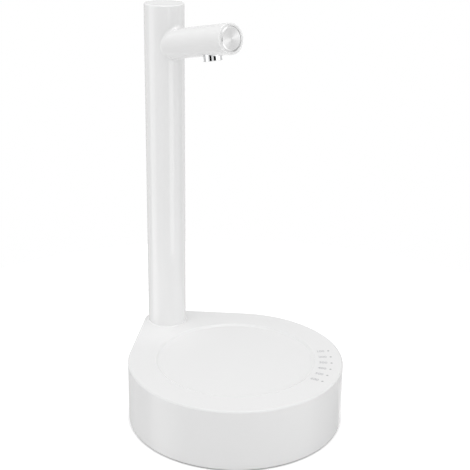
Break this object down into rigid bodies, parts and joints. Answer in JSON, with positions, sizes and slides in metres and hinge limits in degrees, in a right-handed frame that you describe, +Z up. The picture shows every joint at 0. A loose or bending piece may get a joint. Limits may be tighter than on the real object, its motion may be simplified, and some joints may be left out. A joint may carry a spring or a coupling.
{
  "type": "desktop water dispenser",
  "caption": "White desktop water dispenser: teardrop pump base with a cup dish, round column, tilted spout with a brushed push button and a chrome nozzle.",
  "frame": {"origin": "centre of the round base on the table plane, under the foot pad", "axes": "+Z up along the column, the spout points to -Y and the column stands at +Y, +X to the right of the spout as seen from the front"},
  "size_m": [0.14, 0.1615, 0.261],
  "materials": {
    "white_shell": "fine satin moulding",
    "white_paint": "smooth satin white coating",
    "white_inner": "plain moulding",
    "white_fitting": "smooth moulding",
    "foot_rubber": "matt silicone",
    "black_rubber": "matt",
    "silicone_tube": "milky silicone",
    "light_pipe": "clear light pipe",
    "chrome": "mirror chrome",
    "brushed_button": "circular brushed face, polished bevel",
    "steel": "plain steel",
    "motor_steel": "zinc plated",
    "lamination": "stacked sheet",
    "ferrite": "sintered",
    "copper": "enamelled winding",
    "bronze": "sintered bronze",
    "pump_plastic": "glass filled nylon",
    "gear_plastic": "machined acetal",
    "dark_plastic": "plain moulding",
    "board": "solder mask",
    "led": "clear resin",
    "cell_wrap": "shrink sleeve",
    "red_lead": "insulation",
    "black_lead": "insulation"
  },
  "bodies": {
    "base": {"base_housing": "white_shell", "bottom_cover": "white_inner", "foot_pad": "foot_rubber", "cover_screws": "steel", "indicator_lenses": "light_pipe", "control_board": "board", "board_screws": "steel", "board_chips": "dark_plastic", "indicator_leds": "led", "charge_port": "steel", "charge_board": "board", "battery_cell": "cell_wrap", "battery_holder": "dark_plastic", "battery_contacts": "steel", "pump_body": "pump_plastic", "pump_gasket": "black_rubber", "pump_cover": "pump_plastic", "pump_screws": "steel", "idler_pin": "steel", "shaft_seal": "black_rubber", "motor_can": "motor_steel", "motor_end_cap": "dark_plastic", "motor_magnets": "ferrite", "motor_bushings": "bronze", "motor_sleeve": "black_rubber", "motor_strap": "white_inner", "strap_screws": "steel", "hose_inlet": "white_fitting", "hose_seal": "black_rubber", "hose_nut": "white_fitting", "suction_tube": "silicone_tube", "delivery_tube": "silicone_tube", "column_tube": "white_paint", "column_plug": "dark_plastic", "column_screws": "steel", "column_cap": "white_paint", "spout_tube": "white_paint", "nozzle": "chrome", "nozzle_elbow": "white_fitting", "nozzle_screen": "steel", "switch_housing": "white_shell", "button_spring": "steel", "tact_switch": "dark_plastic", "switch_board": "board", "switch_leads": "red_lead", "motor_leads": "black_lead", "battery_leads": "red_lead"},
    "button": {"button_cap": "brushed_button", "button_stem": "white_inner", "stem_clip": "steel"},
    "rotor": {"motor_shaft": "steel", "armature": "lamination", "armature_coils": "copper", "commutator": "copper", "drive_gear": "gear_plastic"},
    "idler": {"idler_gear": "gear_plastic"}
  },
  "joints": [
    {"name": "button_press", "type": "slide", "parent": "base", "child": "button", "axis": [0, 0.9792, -0.2028], "range_m": [0, 0.0009], "stiffness_N_per_m": 1000, "springref_m": -0.001, "deforming": ["button_spring"]},
    {"name": "motor_spin", "type": "hinge", "parent": "base", "child": "rotor", "pos_m": [0, 0.008, 0.0194], "axis": [1, 0, 0], "continuous": true},
    {"name": "idler_spin", "type": "hinge", "parent": "base", "child": "idler", "pos_m": [-0.014, 0.02, 0.0194], "axis": [1, 0, 0], "continuous": true}
  ],
  "couplings": [
    {"joint": "idler_spin", "follows": "motor_spin", "ratio": -1}
  ]
}
